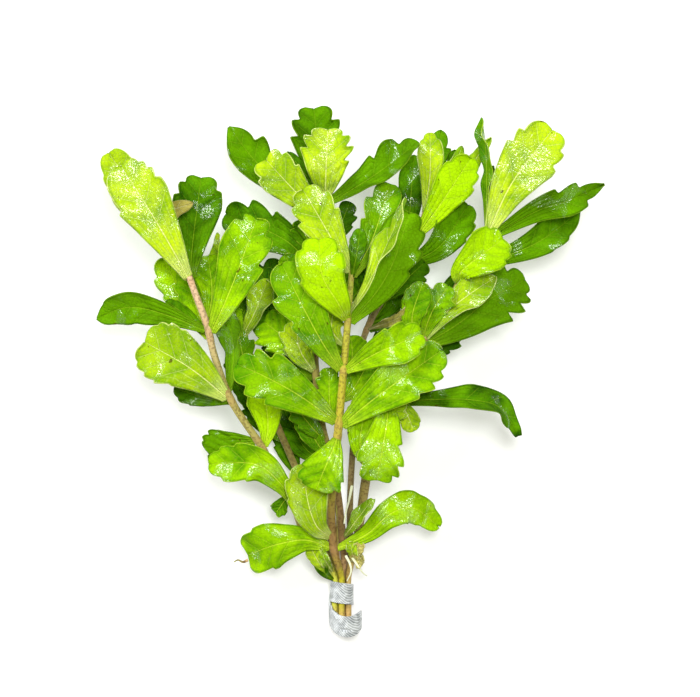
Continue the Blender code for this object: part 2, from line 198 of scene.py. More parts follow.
class Paint:
    """A material with one Principled shader."""

    def __init__(self, name, constants):
        self.material = bpy.data.materials.new(name)
        self.material.use_nodes = True
        self.tree = self.material.node_tree
        self.shader = self.tree.nodes["Principled BSDF"]
        self.shaders = [self.shader]
        self.set_constants(self.shader, constants)

    def set_constants(self, shader, constants):
        for socket, value in constants.items():
            shader.inputs[socket].default_value = value

    def node(self, kind, settings=None, values=None, output=0):
        """Adds a node: its settings first, then the values or links of its sockets."""
        made = self.tree.nodes.new(kind)
        for name, value in (settings or {}).items():
            setattr(made, name, value)
        for name, value in (values or {}).items():
            self.feed(made.inputs[name], value)
        return Wire(self, made.outputs[output])

    def feed(self, socket, value):
        """Links a wire to a socket, or sets the socket's own value."""
        if isinstance(value, Wire):
            self.tree.links.new(value.socket, socket)
        else:
            socket.default_value = value

    def wet_film(self, factor, constants):
        """Mixes in a second shader, with constants of its own, where water lies."""
        film = self.tree.nodes.new("ShaderNodeBsdfPrincipled")
        self.set_constants(film, constants)
        self.shaders.append(film)
        mix = self.tree.nodes.new("ShaderNodeMixShader")
        self.feed(mix.inputs[0], factor)
        self.tree.links.new(self.shader.outputs[0], mix.inputs[1])
        self.tree.links.new(film.outputs[0], mix.inputs[2])
        self.tree.links.new(mix.outputs[0], self.tree.nodes["Material Output"].inputs[0])

    def surface(self, **wires):
        """Feeds what changes over the surface, such as Base_Color or Roughness."""
        for name, wire in wires.items():
            for shader in self.shaders:
                self.feed(shader.inputs[name.replace("_", " ")], wire)

    def attribute(self, name):
        """A number that the mesh carries at each vertex."""
        return self.node("ShaderNodeAttribute", {"attribute_name": name}, output="Fac")

    def noise(self, scale, detail=3, distortion=0):
        """Cloudy noise from 0 to 1, with a scale in waves a metre of the object."""
        where = self.node("ShaderNodeTexCoord", output="Object")
        values = {"Vector": where, "Scale": scale, "Detail": detail, "Distortion": distortion}
        return self.node("ShaderNodeTexNoise", {}, values)

    def cells(self, scale):
        """The distance to the nearest wall of a pattern of cells."""
        where = self.node("ShaderNodeTexCoord", output="Object")
        values = {"Vector": where, "Scale": scale}
        return self.node("ShaderNodeTexVoronoi", {"feature": "DISTANCE_TO_EDGE"}, values)

    def blend(self, first, second, factor, mode="MIX"):
        """Goes from one colour to another."""
        settings = {"data_type": "RGBA", "blend_type": mode}
        values = {0: factor, 6: first, 7: second}
        return self.node("ShaderNodeMix", settings, values, output=2)

    def relief(self, height, distance, strength=1):
        """A bumped normal. The height runs from 0 to 1 over that distance in metres."""
        values = {"Height": height, "Distance": distance, "Strength": strength}
        return self.node("ShaderNodeBump", {}, values, output="Normal")


FLOOR_GREY, FLOOR_GLOW = 0.62, 0.4
floor_paint = Paint("pale_floor", {
    "Base Color": (FLOOR_GREY, FLOOR_GREY, FLOOR_GREY, 1),
    "Emission Color": (0.94, 0.94, 1, 1),
    "Emission Strength": FLOOR_GLOW,
})
floor_paint.surface(Roughness=floor_paint.noise(40) * 0.1 + 0.85)
print("materials:", len(bpy.data.materials))

# %% Floor
FLOOR_SIZE = 6

floor_sheet = bmesh.new()
bmesh.ops.create_grid(floor_sheet, x_segments=2, y_segments=2, size=FLOOR_SIZE / 2)
floor_mesh = bpy.data.meshes.new("floor")
floor_sheet.to_mesh(floor_mesh)
floor_sheet.free()
floor_mesh.materials.append(floor_paint.material)
floor = bpy.data.objects.new("floor", floor_mesh)
bpy.context.scene.collection.objects.link(floor)
print("the floor is", FLOOR_SIZE, "m wide")

# %% [markdown]
# ## Smooth lines
#
# A stem or a midrib is a curve through a few chosen points. A Catmull-Rom curve passes through all
# of them, and each stretch of it is the same as a Bezier curve whose handles follow from the
# neighbouring points, so Blender's own `interpolate_bezier` can draw it. The class remembers how
# long the curve is, because a leaf wants to know what lies a third of the way along.

# %% A curve through points
CURVE_STEPS = 12


class SmoothLine:
    """A smooth curve through some points, read by the share of its length."""

    def __init__(self, points):
        before = 2 * points[0] - points[1]
        after = 2 * points[-1] - points[-2]
        knots = [before, *points, after]
        self.points = [points[0]]
        for a, b, c, d in zip(knots, knots[1:], knots[2:], knots[3:]):
            run = interpolate_bezier(b, b + (c - a) / 6, c - (d - b) / 6, c, CURVE_STEPS)
            self.points += run[1:]
        self.reach = [0]
        for a, b in zip(self.points, self.points[1:]):
            self.reach.append(self.reach[-1] + (b - a).length)
        self.length = self.reach[-1]

    def at(self, share):
        """The point at a share of the length, and the direction there. It goes on straight past 1."""
        goal = min(max(share, 0), 1) * self.length
        step = 1
        while step < len(self.reach) - 1 and self.reach[step] < goal:
            step += 1
        start, end = self.points[step - 1], self.points[step]
        part = (goal - self.reach[step - 1]) / (self.reach[step] - self.reach[step - 1])
        before = self.points[max(step - 2, 0)]
        after = self.points[min(step + 1, len(self.points) - 1)]
        direction = ((start - before).lerp(after - end, part) + (end - start)).normalized()
        return start.lerp(end, part) + direction * max(share - 1, 0) * self.length, direction


print("curves are drawn with", CURVE_STEPS, "points a stretch")

# %% [markdown]
# ## The stems
#
# Six cuttings run side by side through the tie and then spread like the ribs of a fan. Each is
# given as a short list of places with the stem's radius there, thick and brown near the tie and
# thin and green at the tip. In the tie one stem is in the middle and the others stand in a ring
# round it, so those places follow from an angle.

# %% Where the stems run
TIED_RADIUS = 1.15
TIED_RING = 2.6
TIED_HEIGHT = 4.3
TIED_COLUMN = 341.5
TIED_ROWS = (619, 597, 577)
TIED_ANGLES = {"front": 0, "right": 72, "right_back": 144, "left_back": 216, "left": 288}

# Places along each stem, from the tie to its tip: column, row, height, radius in millimetres
STEMS = {
    "front": ((337, 562, 10.5, 1.45), (333, 545, 12, 1.7), (331, 510, 17, 1.7), (332, 490, 21, 1.7),
              (335, 460, 28, 1.6), (339, 422, 33, 1.5), (343, 375, 37, 1.4), (347, 330, 40, 1.3),
              (350, 295, 42, 1.1), (352, 268, 43, 0.9)),
    "left": ((327, 565, 7.5, 1.2), (306, 538, 14, 1.35), (290, 497, 20, 1.35),
             (263, 449, 26, 1.35), (232, 402, 30, 1.35), (215, 358, 33, 1.35),
             (207, 325, 36, 1.3), (197, 298, 39, 1.25), (189, 276, 41, 1.1)),
    "left_back": ((334, 562, 4, 1.2), (326, 545, 6.5, 1.25), (316, 520, 9, 1.3),
                  (300, 478, 11, 1.3), (280, 432, 13, 1.3), (262, 392, 14, 1.25),
                  (243, 350, 16, 1.2), (232, 318, 18, 1.1), (224, 292, 20, 0.9)),
    "middle": ((344, 560, 6.5, 1.35), (342, 535, 10, 1.6), (340, 515, 12.5, 1.6),
               (337, 490, 15, 1.5), (330, 455, 17, 1.4), (322, 425, 19, 1.45),
               (316, 375, 22, 1.45), (314, 340, 24, 1.35), (316, 300, 27, 1.25),
               (320, 250, 30, 1.15), (325, 200, 32, 1)),
    "right": ((352, 560, 8.5, 1.3), (357, 540, 12, 1.6), (361, 515, 16, 1.7), (366, 480, 22, 1.8),
              (374, 440, 26, 1.6), (392, 395, 29, 1.4), (412, 358, 31, 1.3), (430, 330, 32, 1.25),
              (455, 290, 33, 1.2), (475, 258, 34, 1.1), (489, 232, 35, 1)),
    "right_back": ((348, 560, 4.5, 1.2), (350, 535, 7, 1.25), (350, 510, 9, 1.25),
                   (351, 480, 11, 1.2), (354, 430, 13, 1.2), (358, 370, 14, 1.2),
                   (363, 340, 16, 1.15), (373, 316, 18, 1.15), (392, 285, 21, 1.1),
                   (408, 255, 24, 1), (418, 232, 26, 0.95), (426, 210, 27, 0.9)),
}


def stem_spots(name):
    """All places along a stem, the straight stretch in the tie first."""
    column, height = TIED_COLUMN, TIED_HEIGHT
    if name in TIED_ANGLES:
        angle = math.radians(TIED_ANGLES[name])
        column += TIED_RING * MM * math.sin(angle) / PIXEL
        height += TIED_RING * math.cos(angle)
    tied = [(column, row, height, TIED_RADIUS) for row in TIED_ROWS]
    return tied + list(STEMS[name])


def stem_line(name):
    """The centreline of a stem, in the view's columns, rows and heights."""
    return SmoothLine([Vector(spot[:3]) for spot in stem_spots(name)])


def stem_radius(name, row):
    """The radius of a stem where it crosses a row of the view."""
    spots = stem_spots(name)
    for low, high in zip(spots, spots[1:]):
        if row >= high[1]:
            part = (low[1] - row) / (low[1] - high[1])
            return (low[3] + (high[3] - low[3]) * max(part, 0)) * MM
    return spots[-1][3] * MM


def stem_at(name, row):
    """The centre of a stem where it crosses a row of the view, and its direction there."""
    spots = stem_line(name).points
    step = min(range(1, len(spots)), key=lambda i: abs(spots[i][1] - row))
    centre = at_place(*spots[step])
    return centre, (centre - at_place(*spots[step - 1])).normalized()


print("stems:", ", ".join(STEMS))

# %% [markdown]
# ## The leaves' places
#
# Every leaf has one line here, the same that the plain solids were made from: the stem and the row
# that it grows at, the places that its midrib passes through, its width, and how the blade is
# turned, folded and cupped. Small leaves have lines of their own. The last list holds leaves that
# the frame has no room for: those mostly hidden between the others, a bud, and small yellowed
# ones at the tie.

# %% One line for each leaf
Leaf = namedtuple("Leaf", "stem row path width tone roll fold cup outline cells")


def leaf(stem, row, path, width, tone, roll=(0, 0), fold=8, cup=10, outline="lobed", cells=2):
    """A leaf's sizes, with the usual ones filled in."""
    return Leaf(stem, row, path, width, tone, roll, fold, cup, outline, cells)


LEAVES = {
    # On the left stem, from its tip down
    "left_tip_front": leaf("left", 277, ((170, 245, 47), (148, 208, 50), (121, 166, 51)), 20.5,
                           "pale", fold=6, outline="spoon", cells=4),
    "left_tip_back": leaf("left", 280, ((155, 225, 40), (109, 153, 43)), 16.5, "pale",
                          outline="spoon"),
    "left_tip_dark": leaf("left", 279, ((192, 250, 36), (201, 178, 33)), 18.5, "dark"),
    "left_upper_right": leaf("left", 334, ((224, 305, 41), (240, 265, 43), (256, 219, 42)), 19,
                             "mid", outline="spoon", cells=4),
    "left_upper_left": leaf("left", 330, ((170, 316, 37), (130, 307, 38), (97, 318, 33)), 13.5,
                            "dark", roll=(15, 20), fold=10, outline="smooth"),
    "left_upper_behind": leaf("left", 338, ((188, 305, 26), (162, 258, 27)), 15, "mid"),
    "left_upper_between": leaf("left", 322, ((212, 292, 33), (208, 256, 31)), 13, "mid"),
    "left_middle_front": leaf("left", 399, ((190, 368, 38), (145, 342, 38)), 23, "pale", fold=5,
                              outline="spoon", cells=4),
    "left_middle_side": leaf("left", 392, ((234, 350, 26), (226, 306, 26)), 14, "dark",
                             roll=(45, 50)),
    "left_lower_up": leaf("left", 448, ((268, 425, 23), (264, 388, 22)), 14, "mid"),
    "left_lower_dark": leaf("left", 440, ((232, 446, 22), (209, 454, 20)), 17, "dark"),
    "left_foot": leaf("left", 502, ((280, 483, 27), (255, 464, 31), (209, 464, 30)), 15, "mid",
                      cells=4),
    # On the stem behind it
    "left_back_hanging": leaf("left_back", 341, ((254, 315, 22), (268, 280, 24)), 11, "pale",
                              roll=(30, 30)),
    "left_back_low": leaf("left_back", 302, ((203, 290, 8), (185, 272, 1.2), (168, 256, 0.3)), 13,
                          "dark", fold=4),
    "left_back_dark": leaf("left_back", 325, ((252, 300, 10), (280, 262, 8)), 15, "dark"),
    # On the middle stem
    "middle_tip_front": leaf("middle", 201, ((326, 170, 42), (328, 130, 44)), 19.5, "pale",
                             fold=4, cells=4),
    "middle_tip_back": leaf("middle", 206, ((319, 160, 27), (314, 109, 28)), 20, "dark",
                            fold=14, cells=4),
    "middle_tip_right": leaf("middle", 204, ((355, 188, 36), (385, 168, 38), (418, 142, 38)), 16,
                             "dark", roll=(25, 30), fold=28),
    "middle_tip_left": leaf("middle", 214, ((300, 196, 39), (266, 160, 41)), 16.5, "pale",
                            fold=14, outline="spoon"),
    "middle_tip_far_left": leaf("middle", 210, ((285, 187, 29), (256, 162, 27), (229, 127, 28)),
                                17, "dark", roll=(-8, -12), fold=18),
    "middle_upper_left": leaf("middle", 272, ((285, 240, 24), (226, 214, 22)), 18.5, "dark"),
    "middle_pale": leaf("middle", 346, ((328, 322, 33), (324, 278, 35)), 14, "pale"),
    "middle_left": leaf("middle", 357, ((295, 345, 27), (264, 322, 27)), 18, "mid"),
    "middle_dark": leaf("middle", 334, ((290, 305, 14), (258, 272, 11)), 15, "dark"),
    "middle_low_dark": leaf("middle", 462, ((305, 448, 10), (283, 408, 7)), 13, "dark"),
    # On the front stem
    "front_tip_left": leaf("front", 272, ((334, 243, 47), (318, 215, 49), (303, 190, 49)), 17,
                           "pale"),
    "front_tip_right": leaf("front", 278, ((372, 240, 37), (390, 184, 34)), 15, "mid"),
    "front_upper_left": leaf("front", 318, ((338, 303, 50), (322, 275, 54), (319, 240, 55)), 18.5,
                             "mid", fold=5, cells=4),
    "front_upper_edge": leaf("front", 312, ((368, 285, 52), (387, 245, 54), (407, 199, 54)), 13,
                             "pale", roll=(65, 65), fold=10),
    "front_upper_right": leaf("front", 323, ((378, 290, 44), (395, 258, 44), (409, 213, 42)), 18.5,
                              "dark", cells=4),
    "front_middle_left": leaf("front", 370, ((322, 342, 44), (302, 305, 47), (282, 264, 46)), 19,
                              "mid", fold=10, cells=4),
    "front_middle_right": leaf("front", 371, ((375, 354, 44), (400, 343, 46), (421, 334, 46)), 16,
                               "mid", fold=18),
    "front_lower_left": leaf("front", 423, ((300, 396, 42), (268, 378, 45), (237, 364, 44)), 20,
                             "mid", fold=10, cells=4),
    "front_lower_right": leaf("front", 427, ((370, 402, 39), (408, 374, 42), (442, 350, 41)), 21,
                              "mid", fold=10, cells=4),
    "front_hanging": leaf("front", 436, ((332, 452, 38), (324, 470, 39), (316, 490, 36)), 18,
                          "mid", fold=-12, cells=4),
    "front_foot_up": leaf("front", 536, ((316, 525, 22), (307, 497, 27), (305, 465, 28)), 16.5,
                          "pale"),
    "front_foot_left": leaf("front", 547, ((305, 540, 18), (275, 545, 21), (248, 555, 15)), 17.5,
                            "mid", fold=-10),
    "front_foot_right": leaf("front", 549, ((367, 534, 18), (390, 514, 21), (413, 508, 22),
                                            (438, 526, 16)), 12.5, "mid", fold=-12,
                             outline="spoon"),
    # On the right stem
    "right_tip_front": leaf("right", 234, ((512, 183, 43), (552, 130, 45)), 21, "pale", fold=5,
                            cells=4),
    "right_tip_right": leaf("right", 238, ((535, 212, 33), (570, 200, 33), (603, 185, 30)), 13.5,
                            "dark", fold=28),
    "right_tip_edge": leaf("right", 235, ((487, 190, 39), (486, 150, 41), (481, 118, 41)), 9.5,
                           "mid", roll=(70, 70)),
    "right_upper_right": leaf("right", 262, ((500, 258, 31), (540, 241, 28), (580, 211, 26)), 13.5,
                              "dark", fold=18),
    "right_upper_front": leaf("right", 284, ((461, 272, 40), (480, 256, 43), (503, 239, 44)), 17,
                              "mid", outline="spoon"),
    "right_middle_edge": leaf("right", 337, ((445, 314, 36), (470, 294, 36.5), (496, 277, 36.5)), 12,
                              "pale", roll=(20, 20)),
    "right_middle_big": leaf("right", 345, ((458, 324, 26), (490, 299, 26), (525, 280, 21)), 23,
                             "dark", cells=4),
    "right_lower_up": leaf("right", 467, ((360, 440, 31), (370, 390, 33)), 13.5, "mid"),
    "right_lower_hanging": leaf("right", 402, ((387, 422, 38.5), (382, 452, 39), (377, 480, 35)),
                                17.5, "mid"),
    "right_lower_far": leaf("right", 404, ((430, 400, 32), (470, 400, 33), (500, 408, 29),
                                           (518, 436, 24)), 12.5, "dark", roll=(25, 45), fold=15),
    # On the stem behind it
    "right_back_tip_front": leaf("right_back", 211, ((430, 175, 33), (430, 133, 33)), 10, "pale"),
    "right_back_tip_right": leaf("right_back", 236, ((440, 205, 33), (471, 158, 36)), 15, "mid"),
    "right_back_tip_dark": leaf("right_back", 214, ((434, 175, 20), (441, 130, 15)), 10, "dark"),
    "right_back_upper": leaf("right_back", 266, ((440, 246, 26), (468, 205, 28)), 16, "dark",
                             fold=25),
    "right_back_low": leaf("right_back", 330, ((430, 310, 6), (470, 285, 1.2), (495, 272, 0.3)),
                           15, "dark", fold=4),
}

# Small leaves, each one piece with its stem
SMALL_LEAVES = (
    leaf("left", 279, ((168, 236, 44.5), (167, 214, 46), (193, 203, 45)), 7.5, "tan",
         outline="small"),
    leaf("left", 283, ((187, 250, 31), (180, 212, 28)), 9, "dark", outline="small"),
    leaf("left", 334, ((190, 318, 31), (166, 301, 31)), 6, "dark", outline="small"),
    leaf("left", 402, ((205, 398, 25), (174, 388, 23)), 9, "dark", outline="small"),
    leaf("left", 497, ((285, 500, 17), (276, 513, 15)), 7, "mid", outline="small"),
    leaf("left_back", 294, ((221, 262, 26), (217, 233, 28)), 7, "pale", (40, 40),
         outline="small"),
    leaf("left_back", 428, ((255, 405, 8), (234, 372, 6)), 9, "dark", outline="small"),
    leaf("middle", 203, ((308, 178, 35), (288, 152, 34)), 5, "dark", outline="small"),
    leaf("middle", 462, ((314, 438, 22), (298, 412, 23)), 9, "mid", outline="small"),
    leaf("middle", 537, ((354, 524, 19), (373, 499, 25)), 6, "pale", (30, 30), outline="small"),
    leaf("front", 277, ((357, 252, 46), (360, 229, 47)), 7, "dark", outline="small"),
    leaf("right", 237, ((492, 200, 30), (492, 166, 31)), 5, "dark", (50, 50), outline="small"),
    leaf("right", 345, ((412, 318, 38), (423, 282, 40)), 11, "mid", outline="small"),
    leaf("right", 394, ((405, 410, 32), (414, 431, 31)), 8, "pale", outline="small"),
    leaf("right_back", 224, ((446, 190, 28), (462, 146, 29)), 6, "pale", outline="small"),
    leaf("right_back", 228, ((442, 190, 25), (456, 150, 25)), 5, "dark", (40, 40),
         outline="small"),
    leaf("right_back", 233, ((460, 180, 27), (491, 138, 26)), 6, "pale", outline="small"),
    leaf("right_back", 252, ((410, 210, 20), (414, 155, 17)), 11, "dark", outline="small"),
    leaf("right_back", 322, ((388, 317, 13), (402, 312, 12)), 5, "dark", outline="small"),
    leaf("right_back", 425, ((371, 397, 19), (386, 356, 20)), 11, "mid", outline="small"),
)

EXTRA_LEAVES = (
    # Behind the left stem's leaves
    leaf("left", 336, ((196, 308, 28), (184, 268, 27)), 12, "mid"),
    leaf("left_back", 345, ((236, 330, 20), (222, 295, 22)), 12, "mid"),
    leaf("left_back", 400, ((250, 384, 10), (234, 350, 10)), 13, "dark"),
    leaf("left_back", 395, ((247, 372, 18), (238, 330, 19)), 12, "mid"),
    leaf("left_back", 440, ((266, 425, 9), (250, 396, 8)), 12, "dark"),
    leaf("left_back", 480, ((290, 455, 7), (284, 425, 6)), 12, "dark"),
    # Between the middle and the front stems
    leaf("middle", 380, ((280, 345, 13), (266, 300, 13)), 16, "dark"),
    leaf("middle", 340, ((300, 318, 18), (290, 288, 18)), 14, "dark"),
    leaf("middle", 372, ((300, 350, 30), (296, 322, 30)), 14, "pale"),
    leaf("middle", 300, ((300, 285, 30), (285, 255, 29)), 10, "mid"),
    leaf("middle", 250, ((338, 230, 26), (350, 202, 26)), 10, "dark"),
    leaf("middle", 255, ((308, 240, 25), (299, 220, 25)), 10, "mid"),
    leaf("middle", 316, ((338, 300, 30), (352, 272, 31)), 12, "mid"),
    leaf("middle", 425, ((312, 405, 14), (308, 368, 14)), 9, "dark"),
    leaf("middle", 440, ((310, 425, 26), (292, 402, 27)), 10, "mid"),
    leaf("front", 345, ((332, 330, 36), (334, 308, 36)), 11, "pale"),
    leaf("front", 422, ((330, 405, 28), (329, 368, 27)), 11, "mid"),
    leaf("front", 402, ((354, 388, 29), (371, 358, 30)), 13, "mid"),
    leaf("front", 372, ((352, 358, 30), (351, 336, 30)), 12, "mid", outline="small"),
    leaf("front", 300, ((362, 285, 34), (371, 260, 34)), 10, "dark"),
    # Behind the right stem's leaves
    leaf("right_back", 330, ((388, 300, 13), (402, 268, 13)), 16, "dark"),
    leaf("right_back", 372, ((382, 350, 9), (402, 328, 8)), 15, "dark"),
    leaf("right_back", 300, ((400, 285, 25), (425, 262, 26)), 12, "dark"),
    leaf("right", 352, ((432, 346, 22), (456, 328, 18)), 14, "dark"),
    leaf("right", 340, ((432, 312, 36), (448, 286, 38)), 13, "mid"),
    leaf("right", 425, ((368, 410, 20), (362, 378, 20)), 13, "dark"),
    leaf("right", 440, ((384, 420, 33), (398, 398, 34)), 14, "pale"),
    # Yellowed leaf bases just above the tie
    leaf("left", 574, ((321, 565, 11), (313, 552, 13), (309, 541, 14)), 6, "pale", outline="small"),
    leaf("left", 580, ((324, 572, 9), (318, 558, 10), (309, 549, 10)), 6, "dark", outline="small"),
    leaf("left", 572, ((325, 560, 13), (322, 550, 15)), 4, "pale", outline="small"),
    leaf("right_back", 330, ((396, 319, 36), (404, 308, 40)), 3.5, "tan", outline="small"),
    leaf("right", 562, ((355, 553, 15), (363, 542, 16)), 5, "tan", outline="small"),
    leaf("right", 558, ((359, 556, 13), (359, 567, 12)), 4, "tan", outline="small"),
    leaf("right", 556, ((352, 551, 17), (349, 541, 18)), 4.5, "pale", outline="small"),
)

print("leaves:", len(LEAVES), "large,", len(SMALL_LEAVES), "small,", len(EXTRA_LEAVES), "extra")

# %% [markdown]
# ## The outline of a blade
#
# The leaf looks like a small oak leaf: a narrow stalk, a blade that is widest past its middle, and
# a few rounded teeth on each side that point towards the tip, with a sharp notch between two of
# them. A drawn outline would have to be traced for every leaf. We build it from two factors
# instead, a smooth envelope and a row of bumps, so a list of notches is enough to give a leaf its
# own edge. The lines across the blade run slanted, as its side veins do, which makes each tooth
# lean forwards by itself.

# %% Envelope and teeth
STALK = 0.2
TAPER_START = 0.02
TAPER_POWER = 1.05
WIDEST = 0.6
TIP_POWER = 0.75
VEIN_SWEEP = 0.45
TOOTH_CREST = 0.76
TOOTH_FALL = 0.05

# The notches of each kind of edge, as shares of the length, and how deep they are
Edge = namedtuple("Edge", "notches depth")
EDGES = {
    "lobed": Edge((0.57, 0.77), 0.32),
    "spoon": Edge((0.5, 0.62, 0.74, 0.87), 0.12),
    "small": Edge((0.6, 0.8), 0.12),
    "smooth": Edge((0.7,), 0.03),
}

# Leaves with an edge of their own: the notches of the left and the right side, how deep they are,
# how pointed the tip is, from 0.5 for blunt to 1.2 for sharp, and how much lighter or darker the
# leaf is painted, partly its own tone and partly painted light and shade
Own = namedtuple("Own", "left right depth point tint")
OWN = {
    "left_tip_front": Own((0.64,), (0.72, 0.81, 0.9), 0.15, 0.5, 0),
    "left_tip_back": Own((0.7, 0.85), (0.7, 0.85), 0.1, 0.5, 0.4),
    "left_tip_dark": Own((0.74, 0.88), (0.82,), 0.2, 0.5, -0.1),
    "left_upper_right": Own((0.92,), (0.6, 0.85), 0.34, 0.45, 0.2),
    "left_upper_left": Own((), (0.85,), 0.06, 1.1, 0.5),
    "left_upper_behind": Own((0.6, 0.8), (0.6, 0.8), 0.2, 0.7, 0.5),
    "left_upper_between": Own((0.62, 0.8), (0.6, 0.8), 0.24, 0.6, 0.2),
    "left_middle_front": Own((0.5, 0.62, 0.75, 0.88), (0.62, 0.75, 0.88), 0.09, 0.5, -0.5),
    "left_middle_side": Own((0.8,), (0.8,), 0.1, 0.7, 0.9),
    "left_lower_up": Own((0.8,), (0.8,), 0.12, 0.5, 1),
    "left_lower_dark": Own((0.8,), (0.7, 0.85), 0.16, 0.6, 0.6),
    "left_foot": Own((0.6, 0.85), (0.7, 0.85), 0.16, 0.6, 0.1),
    "left_back_hanging": Own((0.8,), (0.8,), 0.12, 0.7, -0.3),
    "middle_tip_front": Own((0.66, 0.83), (0.54, 0.7, 0.86), 0.28, 0.6, 0),
    "middle_tip_back": Own((0.66, 0.84), (0.6, 0.8), 0.3, 0.5, 0.3),
    "middle_tip_right": Own((0.55, 0.82), (), 0.34, 0.8, 0.4),
    "middle_tip_left": Own((0.8,), (0.62, 0.84), 0.2, 0.35, 0.2),
    "middle_tip_far_left": Own((), (0.5, 0.76), 0.4, 1.1, 0.4),
    "middle_upper_left": Own((0.8,), (0.55, 0.78), 0.34, 0.6, 0.1),
    "middle_pale": Own((0.6, 0.8), (0.6, 0.8), 0.2, 0.6, -0.2),
    "middle_left": Own((0.6, 0.8), (0.78,), 0.28, 0.6, 0.2),
    "front_tip_left": Own((0.64, 0.84), (0.6, 0.8), 0.24, 0.6, 0.1),
    "front_tip_right": Own((0.55, 0.78), (0.7,), 0.3, 0.6, -0.6),
    "front_upper_left": Own((0.58, 0.84), (0.8,), 0.18, 0.5, 1),
    "front_upper_edge": Own((0.74,), (), 0.36, 0.8, -0.2),
    "front_upper_right": Own((), (0.52, 0.68, 0.84), 0.24, 0.6, 1),
    "front_middle_left": Own((0.5, 0.72), (0.82,), 0.28, 0.7, -0.5),
    "front_middle_right": Own((0.6, 0.8), (0.85,), 0.2, 0.5, 0.3),
    "front_lower_left": Own((0.6, 0.8), (0.7, 0.85), 0.28, 0.7, -0.4),
    "front_lower_right": Own((0.84,), (0.6, 0.72, 0.84), 0.22, 0.7, 0.1),
    "front_hanging": Own((0.6, 0.8), (0.6, 0.8), 0.18, 0.7, -0.1),
    "front_foot_up": Own((0.6, 0.8), (0.7,), 0.16, 0.6, -0.5),
    "front_foot_left": Own((0.7,), (0.75,), 0.1, 0.25, 0.3),
    "front_foot_right": Own((0.7, 0.85), (0.85,), 0.1, 0.6, 0.4),
    "right_tip_front": Own((0.66, 0.78), (0.7, 0.84), 0.18, 0.5, 0.1),
    "right_tip_right": Own((0.6, 0.78), (0.8,), 0.36, 1.3, 0.5),
    "right_tip_edge": Own((0.8,), (0.8,), 0.1, 0.8, -0.8),
    "right_upper_right": Own((), (0.6, 0.75), 0.1, 1.1, 0.3),
    "right_upper_front": Own((0.85,), (0.75, 0.88), 0.14, 0.5, 0.6),
    "right_middle_edge": Own((), (0.85,), 0.1, 0.8, -0.5),
    "right_middle_big": Own((0.84,), (0.66, 0.78, 0.9), 0.32, 0.7, 0.6),
    "right_lower_up": Own((0.7,), (0.7,), 0.12, 0.6, 0.3),
    "right_lower_hanging": Own((0.5, 0.68, 0.85), (0.72,), 0.26, 0.5, 0.4),
    "right_lower_far": Own((), (0.72, 0.9), 0.16, 1.2, 0),
    "right_back_tip_front": Own((0.9,), (0.9,), 0.2, 0.7, -0.1),
    "right_back_tip_right": Own((0.8,), (0.7, 0.85), 0.16, 0.6, 1),
    "right_back_upper": Own((0.8,), (0.6, 0.8), 0.16, 0.6, 0.4),
}


def ease(value, low, high):
    """0 below low, 1 above high, and a smooth rise from one to the other."""
    part = min(max((value - low) / (high - low), 0), 1)
    return part * part * (3 - 2 * part)


def envelope(share, point=TIP_POWER):
    """The half width of a blade without teeth, at a share of its length."""
    part = min(max((share - TAPER_START) / (WIDEST - TAPER_START), 0), 1)
    swelling = STALK + (1 - STALK) * part**TAPER_POWER
    tip = max((share - WIDEST) / (1 - WIDEST), 0)
    return swelling * (0.04 + 0.96 * (1 - min(tip, 1) ** 2) ** point)


def tooth(share, edge):
    """1 at the crest of a tooth and 1 minus the depth in a notch."""
    for number, (start, end) in enumerate(zip((0, *edge.notches), (*edge.notches, 1))):
        part = (share - start) / (end - start)
        crest = TOOTH_CREST if number else 1 - TOOTH_FALL / end
        if part <= crest:
            rise = math.sin(part / crest * math.pi / 2) if number else 1
            return 1 - edge.depth * (1 - rise)
        if part <= 1 and end < 1:
            return 1 - edge.depth * ease(part, crest, 1)
    return 1


def uneven(edge, chance):
    """The same kind of edge with its notches moved a little."""
    moved = tuple(notch + chance.uniform(-0.03, 0.03) for notch in edge.notches)
    return Edge(moved, edge.depth * chance.uniform(0.75, 1.25))


print("half width at the widest place:", round(envelope(WIDEST), 2), "of the whole")

# %% [markdown]
# ## The surface of a blade
#
# A blade is never flat. It is folded along its midrib, each half is cupped, the margin waves, and
# between two side veins the surface swells like a quilt. One function of two shares, along the
# midrib and across the half, gives all of it. It is the same function that the plain solid uses,
# with the waves and the quilting added, so the dressed leaf lies exactly where the plain one does.

# %% Blade surface
WAVE = 1.3 * MM
QUILT = 0.09 * MM
VEIN_PAIRS = 6
VEIN_SLANT = 0.5
SUNK_SHARE = 0.55


def half_blade(distance, fold, bend):
    """How far out and up a point lies that is this far from the midrib along the bent half."""
    turned = fold + bend * distance
    return (math.sin(turned) - math.sin(fold)) / bend, (math.cos(fold) - math.cos(turned)) / bend


